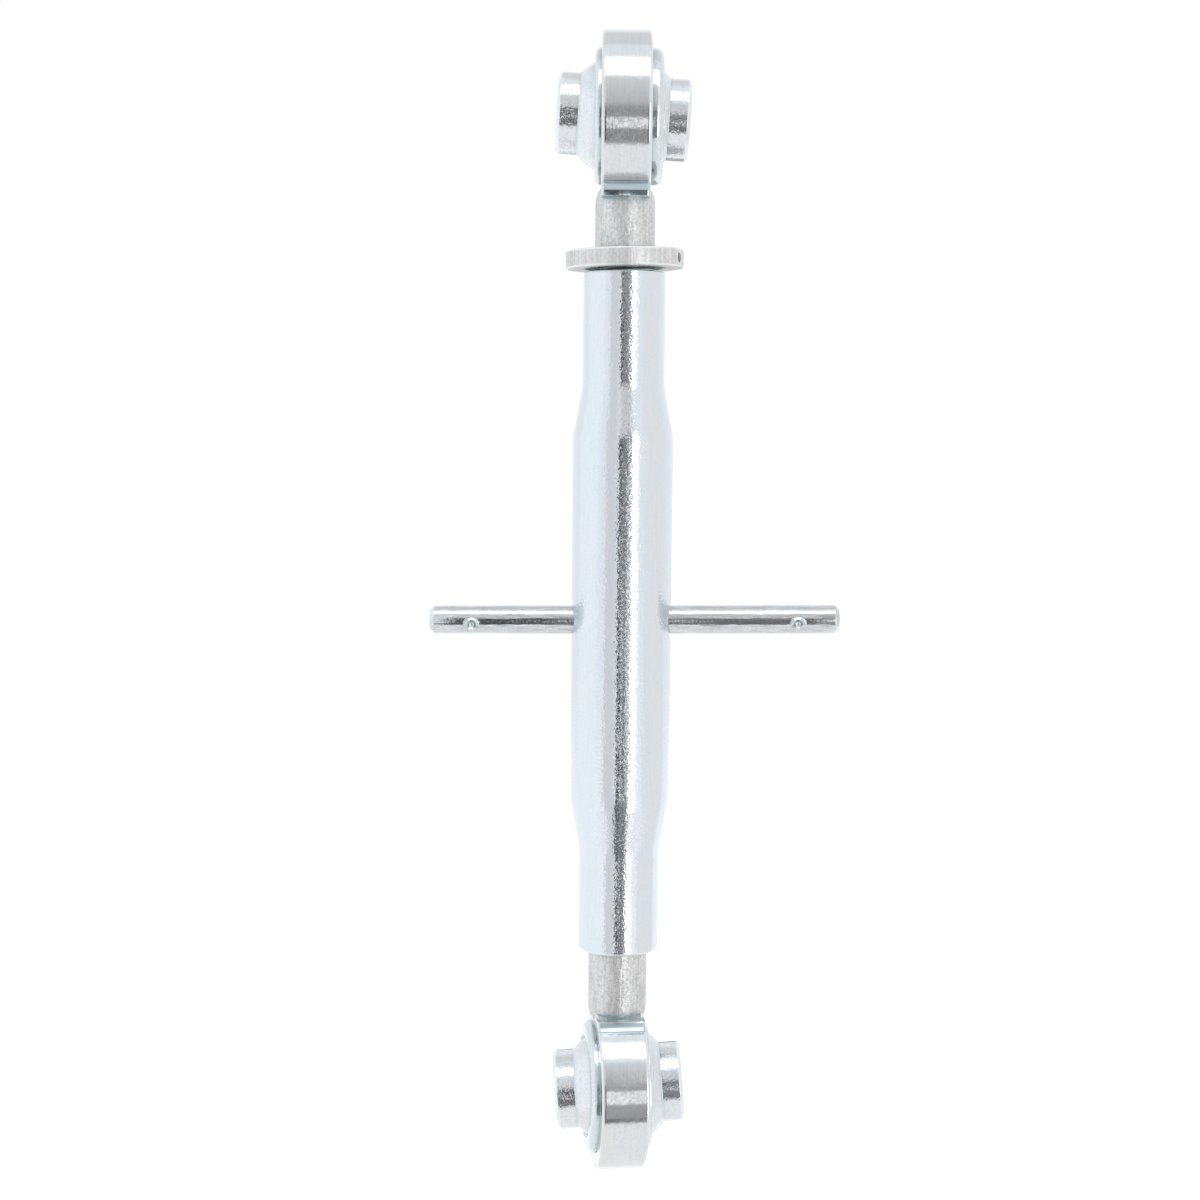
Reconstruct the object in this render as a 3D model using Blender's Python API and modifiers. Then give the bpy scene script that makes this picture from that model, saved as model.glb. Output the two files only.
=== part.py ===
"""Tractor top link: a turnbuckle barrel between two forged ball eyes.

The link stands along Z. The origin is the centre of the top ball, X runs along the pins and
the camera looks along +Y. Each eye is modelled in its own frame, with the eye's centre at
the origin and the shank running down, and is then placed at its end of the link.
"""
from math import asin, atan2, cos, hypot, pi, radians, sin, sqrt, tan

import bmesh
import bpy
from mathutils import Matrix, Vector

MM = 0.001

# Clearance left between pieces that touch, slide or turn on each other
GAP = 0.3 * MM

# Ball: a sphere with a cylindrical shoulder at each side, bored for the hitch pin
BALL_RADIUS = 20.0 * MM
BALL_WIDTH = 44.0 * MM
SHOULDER_RADIUS = 13.4 * MM
SHOULDER_FILLET = 1.0 * MM
BALL_CHAMFER = 1.0 * MM
PIN_BORE_RADIUS = 9.65 * MM
PIN_BORE_CHAMFER = 0.7 * MM
BALL_SET_BACK = 0.9 * MM
TOP_BALL_TILT = 3.1
BOTTOM_BALL_TILT = -5.0

# Race: the cup pressed into the eye, longer at one side of the ball than at the other
RACE_WALL = 1.95 * MM
TOP_RACE_LONG_SIDE = 13.1 * MM
BOTTOM_RACE_LONG_SIDE = 12.0 * MM
RACE_SHORT_SIDE = 9.5 * MM
RACE_LONG_EDGE = 4.5 * MM
RACE_SHORT_EDGE = 2.5 * MM
RACE_LIP_DEPTH = 0.9 * MM
RACE_LIP_FLARE = 0.5 * MM

# Eye: the forged ring round the race
EYE_WALL = 5.45 * MM
EYE_WIDTH = 16.4 * MM
EYE_EDGE = 1.1 * MM
EYE_BORE_CHAMFER = 0.5 * MM
BOTTOM_EYE_YAW = 7.0

# Rod: the shank under each eye and the thread that runs into the barrel
ROD_RADIUS = 10.0 * MM
SHANK_HEAD_TOP = 23.2 * MM
SHANK_HEAD_END = 29.2 * MM
NECK_START = 34.5
NECK_FILLET = 6.0 * MM
NECK_END = 26.2 * MM
NECK_WIDTH = 15.9 * MM
TOP_SHANK_LENGTH = 15.8 * MM
BOTTOM_SHANK_LENGTH = 20.4 * MM
THREAD_RUNOUT = 0.4 * MM
ROD_TIP_CHAMFER = 1.5 * MM
ROD_TIP_TO_BAR = 10.0 * MM

# Lock nut: a round collar on the top thread with one blind hole in its rim
NUT_RADIUS = 19.75 * MM
NUT_THICKNESS = 6.0 * MM
NUT_EDGE = 0.5 * MM
NUT_TOP_CHAMFER = 0.8 * MM
NUT_BOTTOM_CHAMFER = 2.5 * MM
NUT_STANDOFF = 1.2 * MM
NUT_TILT = -1.3
NUT_HOLE_RADIUS = 1.7 * MM
NUT_HOLE_DEPTH = 1.8 * MM
NUT_HOLE_BEARING = 67.0

# Barrel: a tube swaged down at both ends, where it is tapped
BARREL_LENGTH = 230.5 * MM
TUBE_RADIUS = 16.85 * MM
TUBE_WALL = 3.5 * MM
TAPPED_END_WALL = 3.4 * MM
TOP_END_LENGTH = 38.0 * MM
BOTTOM_END_LENGTH = 35.1 * MM
SWAGE_LENGTH = 17.0 * MM
SWAGE_BLEND = 24.0 * MM
BARREL_TOP_EDGE = 0.3 * MM
BARREL_BOTTOM_EDGE = 1.8 * MM
TAPPED_MOUTH_CHAMFER = 1.2 * MM

# Tommy bar: slides through the barrel and is staked near each end so that it can't fall out
BAR_RADIUS = 4.75 * MM
BAR_LENGTH = 139.0 * MM
BAR_END_CHAMFER = 1.3 * MM
BAR_BELOW_MIDDLE = 1.6 * MM
BAR_REST_SHIFT = 4.6 * MM
BAR_REST_TILT = -0.6
BAR_PLAY = 0.2 * MM
BAR_HOLE_DISH_WIDTH = 2.2 * MM
BAR_HOLE_DISH_DEPTH = 2.0 * MM
STAKE_INSET = 14.25 * MM
STAKE_BEARING = 15.0
STAKE_CRATER_RADIUS = 1.5 * MM
STAKE_CRATER_DEPTH = 0.9 * MM
STAKE_BURR_HEIGHT = 0.8 * MM
STAKE_BURR_LENGTH = 2.8 * MM
STAKE_BURR_WIDTH = 2.6 * MM
STAKE_BURR_SINK = 1.2 * MM

# Faces round a full turn
BALL_STEPS = 36
EYE_STEPS = 48
ROD_STEPS = 40
BARREL_STEPS = 48
BAR_STEPS = 32
HOLE_STEPS = 24

# Sizes that follow from the ones above
RACE_BORE_RADIUS = BALL_RADIUS + GAP
RACE_RADIUS = RACE_BORE_RADIUS + RACE_WALL
EYE_BORE_RADIUS = RACE_RADIUS + GAP
EYE_RADIUS = EYE_BORE_RADIUS + EYE_WALL
THREAD_BORE_RADIUS = ROD_RADIUS + GAP
TAPPED_END_RADIUS = THREAD_BORE_RADIUS + TAPPED_END_WALL
TUBE_BORE_RADIUS = TUBE_RADIUS - TUBE_WALL
BAR_HOLE_RADIUS = BAR_RADIUS + GAP + BAR_PLAY

LINK_X = BALL_SET_BACK
NUT_TOP_Z = -(EYE_RADIUS + TOP_SHANK_LENGTH + THREAD_RUNOUT)
BARREL_TOP_Z = NUT_TOP_Z - NUT_THICKNESS - NUT_STANDOFF
BARREL_BOTTOM_Z = BARREL_TOP_Z - BARREL_LENGTH
BAR_Z = (BARREL_TOP_Z + BARREL_BOTTOM_Z) / 2 - BAR_BELOW_MIDDLE
BOTTOM_EYE_Z = BARREL_BOTTOM_Z - THREAD_RUNOUT - BOTTOM_SHANK_LENGTH - EYE_RADIUS
TOP_ROD_TIP_Z = BAR_Z + BAR_HOLE_RADIUS + ROD_TIP_TO_BAR
BOTTOM_ROD_TIP_Z = BAR_Z - BAR_HOLE_RADIUS - ROD_TIP_TO_BAR

ALONG_X = Matrix.Rotation(pi / 2, 4, "Y")
BIG = 0.2


def clear_scene():
    for old in list(bpy.data.objects):
        bpy.data.objects.remove(old, do_unlink=True)


def new_collection(name):
    collection = bpy.data.collections.new(name)
    bpy.context.scene.collection.children.link(collection)
    return collection


def zinc(name, colour, roughness):
    """Bright zinc plate, one material for each piece."""
    material = bpy.data.materials.new(name)
    material.use_nodes = True
    shader = material.node_tree.nodes["Principled BSDF"]
    shader.inputs["Base Color"].default_value = (*colour, 1.0)
    shader.inputs["Roughness"].default_value = roughness
    shader.inputs["Metallic"].default_value = 1.0
    material.diffuse_color = (*colour, 1.0)
    return material


def arc(centre, radius, start, end, steps):
    """Points on a circle in the outline's plane, from one angle to the other."""
    angles = [start + (end - start) * i / steps for i in range(steps + 1)]
    return [(centre[0] + radius * cos(a), centre[1] + radius * sin(a)) for a in angles]


def rounded(corners, steps=3):
    """An outline through corners given as (radius, height, rounding)."""
    outline = []
    for i, (x, z, rounding) in enumerate(corners):
        if rounding == 0:
            outline.append((x, z))
            continue
        here = Vector((x, z))
        before = Vector(corners[i - 1][:2]) - here
        after = Vector(corners[(i + 1) % len(corners)][:2]) - here
        half = before.angle(after) / 2
        reach = min(rounding / tan(half), 0.48 * before.length, 0.48 * after.length)
        radius = reach * tan(half)
        middle = here + (before.normalized() + after.normalized()).normalized() * hypot(reach, radius)
        first = here + before.normalized() * reach - middle
        last = here + after.normalized() * reach - middle
        start = atan2(first.y, first.x)
        sweep = (atan2(last.y, last.x) - start + pi) % (2 * pi) - pi
        outline += arc(middle, radius, start, start + sweep, steps)
    return outline


def turned(name, outline, steps, place, collection, ring=True):
    """A solid turned about its own Z from an outline that runs down the outer side."""
    points = [(x, 0.0, z) for x, z in outline]
    edges = [(i, i + 1) for i in range(len(points) - 1)]
    if ring:
        edges.append((len(points) - 1, 0))
    mesh = bpy.data.meshes.new(name)
    mesh.from_pydata(points, edges, [])
    piece = bpy.data.objects.new(name, mesh)
    collection.objects.link(piece)
    piece.matrix_world = place
    screw = piece.modifiers.new("Turn", "SCREW")
    screw.axis = "Z"
    screw.angle = 2 * pi
    screw.steps = steps
    screw.render_steps = steps
    screw.use_merge_vertices = True
    screw.merge_threshold = 0.000001
    return piece


def primitive(name, place, collection, make, **sizes):
    """A closed solid from one of the bmesh primitives."""
    mesh = bpy.data.meshes.new(name)
    shape = bmesh.new()
    make(shape, **sizes)
    shape.to_mesh(mesh)
    shape.free()
    piece = bpy.data.objects.new(name, mesh)
    collection.objects.link(piece)
    piece.matrix_world = place
    return piece


def cone(name, start_radius, end_radius, length, place, collection, steps=HOLE_STEPS):
    """A cylinder or a frustum about its own Z, centred on its middle."""
    return primitive(
        name, place, collection, bmesh.ops.create_cone,
        cap_ends=True, segments=steps, radius1=start_radius, radius2=end_radius, depth=length,
    )


def combine(piece, other, operation):
    boolean = piece.modifiers.new(other.name, "BOOLEAN")
    boolean.operation = operation
    boolean.solver = "EXACT"
    boolean.object = other


def settle(piece, material):
    """Applies the modifiers, then shades the faces smooth with sharp edges."""
    graph = bpy.context.evaluated_depsgraph_get()
    mesh = bpy.data.meshes.new_from_object(piece.evaluated_get(graph))
    mesh.name = piece.name
    mesh.materials.clear()
    mesh.materials.append(material)
    mesh.shade_smooth()
    mesh.set_sharp_from_angle(angle=radians(32))
    return mesh


def ball_outline():
    """Half section of the ball along its bore, with a fillet between sphere and shoulder."""
    half = BALL_WIDTH / 2
    fillet = SHOULDER_FILLET
    side = SHOULDER_RADIUS + fillet
    height = sqrt((BALL_RADIUS + fillet) ** 2 - side ** 2)
    lean = atan2(height, side)
    outline = [
        (PIN_BORE_RADIUS + PIN_BORE_CHAMFER, half),
        (SHOULDER_RADIUS - BALL_CHAMFER, half),
        (SHOULDER_RADIUS, half - BALL_CHAMFER),
    ]
    outline += arc((side, height), fillet, pi, pi + lean, 2)
    outline += arc((0, 0), BALL_RADIUS, lean, -lean, 10)[1:-1]
    outline += arc((side, -height), fillet, pi - lean, pi, 2)
    outline += [
        (SHOULDER_RADIUS, BALL_CHAMFER - half),
        (SHOULDER_RADIUS - BALL_CHAMFER, -half),
        (PIN_BORE_RADIUS + PIN_BORE_CHAMFER, -half),
        (PIN_BORE_RADIUS, PIN_BORE_CHAMFER - half),
        (PIN_BORE_RADIUS, half - PIN_BORE_CHAMFER),
    ]
    return outline


def make_ball(name, centre, tilt, parts):
    place = Matrix.Translation(centre) @ Matrix.Rotation(radians(tilt), 4, "Y") @ ALONG_X
    return turned(name, ball_outline(), BALL_STEPS, place, parts)


def race_outline(long_side):
    """Half section of the race: long side up, spherical inside, rounded edges outside."""
    long_lip = long_side - RACE_LIP_DEPTH
    short_lip = RACE_SHORT_SIDE - RACE_LIP_DEPTH
    long_mouth = sqrt(RACE_BORE_RADIUS ** 2 - long_lip ** 2) + RACE_LIP_FLARE
    short_mouth = sqrt(RACE_BORE_RADIUS ** 2 - short_lip ** 2) + RACE_LIP_FLARE
    outline = rounded([
        (long_mouth, long_side, 0),
        (RACE_RADIUS, long_side, RACE_LONG_EDGE),
        (RACE_RADIUS, -RACE_SHORT_SIDE, RACE_SHORT_EDGE),
        (short_mouth, -RACE_SHORT_SIDE, 0),
    ])
    low = -asin(short_lip / RACE_BORE_RADIUS)
    high = asin(long_lip / RACE_BORE_RADIUS)
    return outline + arc((0, 0), RACE_BORE_RADIUS, low, high, 8)


def make_race(name, eye, long_side, parts):
    place = eye @ Matrix.Translation((-BALL_SET_BACK, 0, 0)) @ ALONG_X
    return turned(name, race_outline(long_side), BALL_STEPS, place, parts)


def eye_outline():
    half = EYE_WIDTH / 2
    return rounded([
        (EYE_BORE_RADIUS + EYE_BORE_CHAMFER, half, 0),
        (EYE_RADIUS, half, EYE_EDGE),
        (EYE_RADIUS, -half, EYE_EDGE),
        (EYE_BORE_RADIUS + EYE_BORE_CHAMFER, -half, 0),
        (EYE_BORE_RADIUS, EYE_BORE_CHAMFER - half, 0),
        (EYE_BORE_RADIUS, half - EYE_BORE_CHAMFER, 0),
    ])


def rod_outline(length):
    """The shank and thread, from the domed head inside the eye's rim to the tip."""
    lean = asin((SHANK_HEAD_END - SHANK_HEAD_TOP) / ROD_RADIUS)
    outline = [(0, -SHANK_HEAD_TOP)] + arc((0, -SHANK_HEAD_END), ROD_RADIUS, lean, 0, 4)
    return outline + [
        (ROD_RADIUS, ROD_TIP_CHAMFER - length),
        (ROD_RADIUS - ROD_TIP_CHAMFER, -length),
        (0, -length),
    ]


def web_outline():
    """The forged neck's fillet, from the eye's rim to the step where the shank is turned."""
    reach = EYE_RADIUS + NECK_FILLET
    side = reach * sin(radians(NECK_START))
    depth = reach * cos(radians(NECK_START))
    start = pi - atan2(depth, side)
    end = pi - asin((depth - NECK_END) / NECK_FILLET)
    curve = arc((side, -depth), NECK_FILLET, start, end, 5)
    top = curve[0][1] + GAP
    return [(0, top), (curve[0][0] - GAP, top)] + curve + [(0, -NECK_END)]


def make_rod_end(name, eye, length, parts, cutters):
    """A forged eye with its shank and thread."""
    rod_end = turned(name, eye_outline(), EYE_STEPS, eye @ ALONG_X, parts)
    web = turned(name + "_web", web_outline(), ROD_STEPS, eye, cutters, ring=False)
    slab = primitive(
        name + "_slab", eye @ Matrix.Diagonal((NECK_WIDTH, BIG, BIG, 1)), cutters,
        bmesh.ops.create_cube, size=1.0,
    )
    combine(web, slab, "INTERSECT")
    combine(rod_end, web, "UNION")
    rod = turned(name + "_rod", rod_outline(length), ROD_STEPS, eye, cutters, ring=False)
    combine(rod_end, rod, "UNION")
    return rod_end


def make_lock_nut(parts, cutters):
    top_mouth = THREAD_BORE_RADIUS + NUT_TOP_CHAMFER
    bottom_mouth = THREAD_BORE_RADIUS + NUT_BOTTOM_CHAMFER
    outline = rounded([
        (top_mouth, 0, 0),
        (NUT_RADIUS, 0, NUT_EDGE),
        (NUT_RADIUS, -NUT_THICKNESS, NUT_EDGE),
        (bottom_mouth, -NUT_THICKNESS, 0),
        (THREAD_BORE_RADIUS, NUT_BOTTOM_CHAMFER - NUT_THICKNESS, 0),
        (THREAD_BORE_RADIUS, -NUT_TOP_CHAMFER, 0),
    ], steps=2)
    to_middle = Matrix.Translation((0, 0, NUT_THICKNESS / 2))
    lean = to_middle.inverted() @ Matrix.Rotation(radians(NUT_TILT), 4, "Y") @ to_middle
    place = Matrix.Translation((LINK_X, 0, NUT_TOP_Z)) @ lean
    nut = turned("lock_nut", outline, BARREL_STEPS, place, parts)
    bearing = Matrix.Rotation(radians(NUT_HOLE_BEARING), 4, "Z")
    inward = Matrix.Translation((0, -NUT_RADIUS, -NUT_THICKNESS / 2)) @ Matrix.Rotation(pi / 2, 4, "X")
    hole = cone(
        "lock_nut_hole", NUT_HOLE_RADIUS, NUT_HOLE_RADIUS, 2 * NUT_HOLE_DEPTH,
        place @ bearing @ inward, cutters,
    )
    combine(nut, hole, "DIFFERENCE")
    return nut


def barrel_outline():
    """Half section of the swaged tube, from its top end at zero height."""
    top_swage = -TOP_END_LENGTH
    top_tube = top_swage - SWAGE_LENGTH
    bottom_swage = BOTTOM_END_LENGTH - BARREL_LENGTH
    bottom_tube = bottom_swage + SWAGE_LENGTH
    mouth = THREAD_BORE_RADIUS + TAPPED_MOUTH_CHAMFER
    return rounded([
        (mouth, 0, 0),
        (TAPPED_END_RADIUS, 0, BARREL_TOP_EDGE),
        (TAPPED_END_RADIUS, top_swage, SWAGE_BLEND),
        (TUBE_RADIUS, top_tube, SWAGE_BLEND),
        (TUBE_RADIUS, bottom_tube, SWAGE_BLEND),
        (TAPPED_END_RADIUS, bottom_swage, SWAGE_BLEND),
        (TAPPED_END_RADIUS, -BARREL_LENGTH, BARREL_BOTTOM_EDGE),
        (mouth, -BARREL_LENGTH, 0),
        (THREAD_BORE_RADIUS, TAPPED_MOUTH_CHAMFER - BARREL_LENGTH, 0),
        (THREAD_BORE_RADIUS, bottom_swage, 0),
        (TUBE_BORE_RADIUS, bottom_tube, 0),
        (TUBE_BORE_RADIUS, top_tube, 0),
        (THREAD_BORE_RADIUS, top_swage, 0),
        (THREAD_BORE_RADIUS, -TAPPED_MOUTH_CHAMFER, 0),
    ], steps=2)


def make_barrel(parts, cutters):
    place = Matrix.Translation((LINK_X, 0, BARREL_TOP_Z))
    barrel = turned("barrel", barrel_outline(), BARREL_STEPS, place, parts)
    middle = Matrix.Translation((LINK_X, 0, BAR_Z))
    hole = cone(
        "barrel_bar_hole", BAR_HOLE_RADIUS, BAR_HOLE_RADIUS, 4 * TUBE_RADIUS,
        middle @ ALONG_X, cutters,
    )
    combine(barrel, hole, "DIFFERENCE")
    for side, name in ((1, "barrel_dish_right"), (-1, "barrel_dish_left")):
        # The frustum reaches past the wall by its own depth, at the same slope
        offset = Matrix.Translation((0, 0, TUBE_RADIUS))
        dish = cone(
            name, BAR_HOLE_RADIUS, BAR_HOLE_RADIUS + 2 * BAR_HOLE_DISH_WIDTH,
            2 * BAR_HOLE_DISH_DEPTH, middle @ Matrix.Rotation(side * pi / 2, 4, "Y") @ offset,
            cutters,
        )
        combine(barrel, dish, "DIFFERENCE")
    return barrel


def make_tommy_bar(parts, cutters):
    half = BAR_LENGTH / 2
    outline = [
        (0, half),
        (BAR_RADIUS - BAR_END_CHAMFER, half),
        (BAR_RADIUS, half - BAR_END_CHAMFER),
        (BAR_RADIUS, BAR_END_CHAMFER - half),
        (BAR_RADIUS - BAR_END_CHAMFER, -half),
        (0, -half),
    ]
    lean = Matrix.Rotation(radians(BAR_REST_TILT), 4, "Y")
    place = Matrix.Translation((LINK_X, 0, BAR_Z)) @ lean @ Matrix.Translation((BAR_REST_SHIFT, 0, 0))
    bar = turned("tommy_bar", outline, BAR_STEPS, place @ ALONG_X, parts, ring=False)
    facing = Matrix.Rotation(pi / 2 + radians(STAKE_BEARING), 4, "X")
    punch = (STAKE_CRATER_RADIUS ** 2 + STAKE_CRATER_DEPTH ** 2) / (2 * STAKE_CRATER_DEPTH)
    burr_centre = BAR_RADIUS - STAKE_BURR_SINK
    burr_rise = STAKE_BURR_SINK + STAKE_BURR_HEIGHT
    for side, end in ((1, "right"), (-1, "left")):
        stake = place @ Matrix.Translation((side * (half - STAKE_INSET), 0, 0)) @ facing
        swell = Matrix.Diagonal((STAKE_BURR_LENGTH, STAKE_BURR_WIDTH, burr_rise, 1))
        burr = primitive(
            "tommy_bar_burr_" + end, stake @ Matrix.Translation((0, 0, burr_centre)) @ swell,
            cutters, bmesh.ops.create_uvsphere, u_segments=HOLE_STEPS, v_segments=12, radius=1.0,
        )
        combine(bar, burr, "UNION")
        crater_centre = BAR_RADIUS - STAKE_CRATER_DEPTH + punch
        crater = primitive(
            "tommy_bar_crater_" + end, stake @ Matrix.Translation((0, 0, crater_centre)),
            cutters, bmesh.ops.create_uvsphere, u_segments=HOLE_STEPS, v_segments=12, radius=punch,
        )
        combine(bar, crater, "DIFFERENCE")
    return bar


def build():
    clear_scene()
    parts = new_collection("top_link")
    cutters = new_collection("cutters")

    top_eye = Matrix.Translation((LINK_X, 0, 0))
    half_turn = Matrix.Rotation(pi, 4, "Y")
    yaw = Matrix.Rotation(radians(BOTTOM_EYE_YAW), 4, "Z")
    bottom_eye = Matrix.Translation((LINK_X, 0, BOTTOM_EYE_Z)) @ yaw @ half_turn
    ball_in_eye = Vector((-BALL_SET_BACK, 0, 0))

    satin = zinc("zinc_satin", (0.62, 0.65, 0.69), 0.34)
    bright = zinc("zinc_bright", (0.74, 0.77, 0.80), 0.22)
    pieces = {
        "barrel": (make_barrel(parts, cutters), bright),
        "tommy_bar": (make_tommy_bar(parts, cutters), zinc("zinc_bar", (0.70, 0.73, 0.76), 0.28)),
        "lock_nut": (make_lock_nut(parts, cutters), zinc("zinc_nut", (0.68, 0.71, 0.74), 0.30)),
        "top_rod_end": (
            make_rod_end("top_rod_end", top_eye, -TOP_ROD_TIP_Z, parts, cutters), satin,
        ),
        "bottom_rod_end": (
            make_rod_end(
                "bottom_rod_end", bottom_eye, BOTTOM_ROD_TIP_Z - BOTTOM_EYE_Z, parts, cutters,
            ), satin,
        ),
        "top_ball_race": (
            make_race("top_ball_race", top_eye, TOP_RACE_LONG_SIDE, parts), satin,
        ),
        "bottom_ball_race": (
            make_race("bottom_ball_race", bottom_eye, BOTTOM_RACE_LONG_SIDE, parts), satin,
        ),
        "top_ball": (make_ball("top_ball", top_eye @ ball_in_eye, TOP_BALL_TILT, parts), bright),
        "bottom_ball": (
            make_ball("bottom_ball", bottom_eye @ ball_in_eye, BOTTOM_BALL_TILT, parts), bright,
        ),
    }

    # All meshes are taken before any modifier goes, because pieces share no cutters
    meshes = {name: settle(piece, material) for name, (piece, material) in pieces.items()}
    for name, (piece, material) in pieces.items():
        piece.modifiers.clear()
        piece.data = meshes[name]
    for cutter in cutters.objects:
        cutter.hide_render = True
        cutter.display_type = "WIRE"


build()
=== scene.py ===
"""Looks of the tractor top link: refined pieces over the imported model, zinc finishes, studio."""
from math import asin, atan2, cos, hypot, pi, radians, sin, sqrt, tan

import bmesh
import bpy
from mathutils import Matrix, Vector


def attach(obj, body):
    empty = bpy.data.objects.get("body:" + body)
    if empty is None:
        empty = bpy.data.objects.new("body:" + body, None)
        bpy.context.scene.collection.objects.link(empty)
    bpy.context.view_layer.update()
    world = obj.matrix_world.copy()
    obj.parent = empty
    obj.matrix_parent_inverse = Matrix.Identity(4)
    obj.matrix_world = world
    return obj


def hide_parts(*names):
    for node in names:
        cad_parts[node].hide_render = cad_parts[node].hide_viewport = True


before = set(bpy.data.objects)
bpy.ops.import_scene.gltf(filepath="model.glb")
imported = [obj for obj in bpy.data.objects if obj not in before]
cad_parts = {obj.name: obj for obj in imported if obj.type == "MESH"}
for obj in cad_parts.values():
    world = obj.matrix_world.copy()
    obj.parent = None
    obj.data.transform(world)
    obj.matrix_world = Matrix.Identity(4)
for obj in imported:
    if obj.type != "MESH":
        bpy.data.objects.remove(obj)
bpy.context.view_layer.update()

MM = 0.001

# Sizes of the CAD model, repeated from the part's source
GAP = 0.3 * MM
BALL_RADIUS = 20.0 * MM
BALL_WIDTH = 44.0 * MM
SHOULDER_RADIUS = 13.4 * MM
BALL_CHAMFER = 1.0 * MM
PIN_BORE_RADIUS = 9.65 * MM
PIN_BORE_CHAMFER = 0.7 * MM
BALL_SET_BACK = 0.9 * MM
TOP_BALL_TILT = 3.1
BOTTOM_BALL_TILT = -5.0
RACE_WALL = 1.95 * MM
TOP_RACE_LONG_SIDE = 13.1 * MM
BOTTOM_RACE_LONG_SIDE = 12.0 * MM
RACE_SHORT_SIDE = 9.5 * MM
RACE_LONG_EDGE = 4.5 * MM
RACE_SHORT_EDGE = 2.5 * MM
RACE_LIP_DEPTH = 0.9 * MM
RACE_LIP_FLARE = 0.5 * MM
EYE_WALL = 5.45 * MM
EYE_WIDTH = 16.4 * MM
EYE_EDGE = 1.1 * MM
EYE_BORE_CHAMFER = 0.5 * MM
BOTTOM_EYE_YAW = 7.0
ROD_RADIUS = 10.0 * MM
SHANK_HEAD_TOP = 23.2 * MM
SHANK_HEAD_END = 29.2 * MM
NECK_START = 34.5
NECK_FILLET = 6.0 * MM
TOP_SHANK_LENGTH = 15.8 * MM
BOTTOM_SHANK_LENGTH = 20.4 * MM
THREAD_RUNOUT = 0.4 * MM
ROD_TIP_CHAMFER = 1.5 * MM
ROD_TIP_TO_BAR = 10.0 * MM
NUT_RADIUS = 19.75 * MM
NUT_THICKNESS = 6.0 * MM
NUT_EDGE = 0.5 * MM
NUT_TOP_CHAMFER = 0.8 * MM
NUT_BOTTOM_CHAMFER = 2.5 * MM
NUT_STANDOFF = 1.2 * MM
NUT_TILT = -1.3
NUT_HOLE_RADIUS = 1.7 * MM
NUT_HOLE_DEPTH = 1.8 * MM
NUT_HOLE_BEARING = 67.0
BARREL_LENGTH = 230.5 * MM
TUBE_RADIUS = 16.85 * MM
TUBE_WALL = 3.5 * MM
TAPPED_END_WALL = 3.4 * MM
TOP_END_LENGTH = 38.0 * MM
BOTTOM_END_LENGTH = 35.1 * MM
SWAGE_LENGTH = 17.0 * MM
SWAGE_BLEND = 24.0 * MM
BARREL_TOP_EDGE = 0.3 * MM
BARREL_BOTTOM_EDGE = 1.8 * MM
TAPPED_MOUTH_CHAMFER = 1.2 * MM
BAR_RADIUS = 4.75 * MM
BAR_LENGTH = 139.0 * MM
BAR_END_CHAMFER = 1.3 * MM
BAR_BELOW_MIDDLE = 1.6 * MM
BAR_REST_SHIFT = 4.6 * MM
BAR_REST_TILT = -0.6
BAR_PLAY = 0.2 * MM
STAKE_INSET = 14.25 * MM
STAKE_BEARING = 15.0

# Sizes that follow from them
RACE_BORE_RADIUS = BALL_RADIUS + GAP
RACE_RADIUS = RACE_BORE_RADIUS + RACE_WALL
EYE_BORE_RADIUS = RACE_RADIUS + GAP
EYE_RADIUS = EYE_BORE_RADIUS + EYE_WALL
THREAD_BORE_RADIUS = ROD_RADIUS + GAP
TAPPED_END_RADIUS = THREAD_BORE_RADIUS + TAPPED_END_WALL
TUBE_BORE_RADIUS = TUBE_RADIUS - TUBE_WALL
BAR_HOLE_RADIUS = BAR_RADIUS + GAP + BAR_PLAY
LINK_X = BALL_SET_BACK
NUT_TOP_Z = -(EYE_RADIUS + TOP_SHANK_LENGTH + THREAD_RUNOUT)
BARREL_TOP_Z = NUT_TOP_Z - NUT_THICKNESS - NUT_STANDOFF
BARREL_BOTTOM_Z = BARREL_TOP_Z - BARREL_LENGTH
BAR_Z = (BARREL_TOP_Z + BARREL_BOTTOM_Z) / 2 - BAR_BELOW_MIDDLE
BOTTOM_EYE_Z = BARREL_BOTTOM_Z - THREAD_RUNOUT - BOTTOM_SHANK_LENGTH - EYE_RADIUS
TOP_ROD_TIP_Z = BAR_Z + BAR_HOLE_RADIUS + ROD_TIP_TO_BAR
BOTTOM_ROD_TIP_Z = BAR_Z - BAR_HOLE_RADIUS - ROD_TIP_TO_BAR

# Sizes that are finer here than on the solids; crest and flank are shares of the thread's pitch
TOP_NECK_END = 27.2 * MM
BOTTOM_NECK_END = 26.2 * MM
NECK_OVERLAP = 9.0
BAR_HOLE_DISH = 2.2 * MM
THREAD_PITCH = 2.5 * MM
THREAD_DEPTH = 1.45 * MM
THREAD_CREST = 0.0625
THREAD_FLANK = 0.3125
THREAD_FADE = 1.6 * THREAD_PITCH
NECK_SINK = 0.05 * MM
SHOULDER_FILLET = 0.4 * MM
STAKE_CRATER_RADIUS = 1.5 * MM
STAKE_CRATER_DEPTH = 0.8 * MM
STAKE_RIM_HEIGHT = 0.6 * MM
STAKE_RIM_WIDTH = 1.2 * MM
STAKE_LONGER = 1.08
BAR_TIP_ROUNDING = 0.25 * MM
BAR_END_ROUNDING = 0.6 * MM
BAR_PLAIN_END = 2.2 * MM
NUT_HOLE_EDGE = 0.25 * MM
NUT_HOLE_CONE = 0.9 * MM
BORE_ROW = 4.0 * MM
BORE_ROUNDING = 0.2 * MM
FACE_ROUNDING = 0.3 * MM
SHOULDER_ROUNDING = 0.4 * MM

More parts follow.
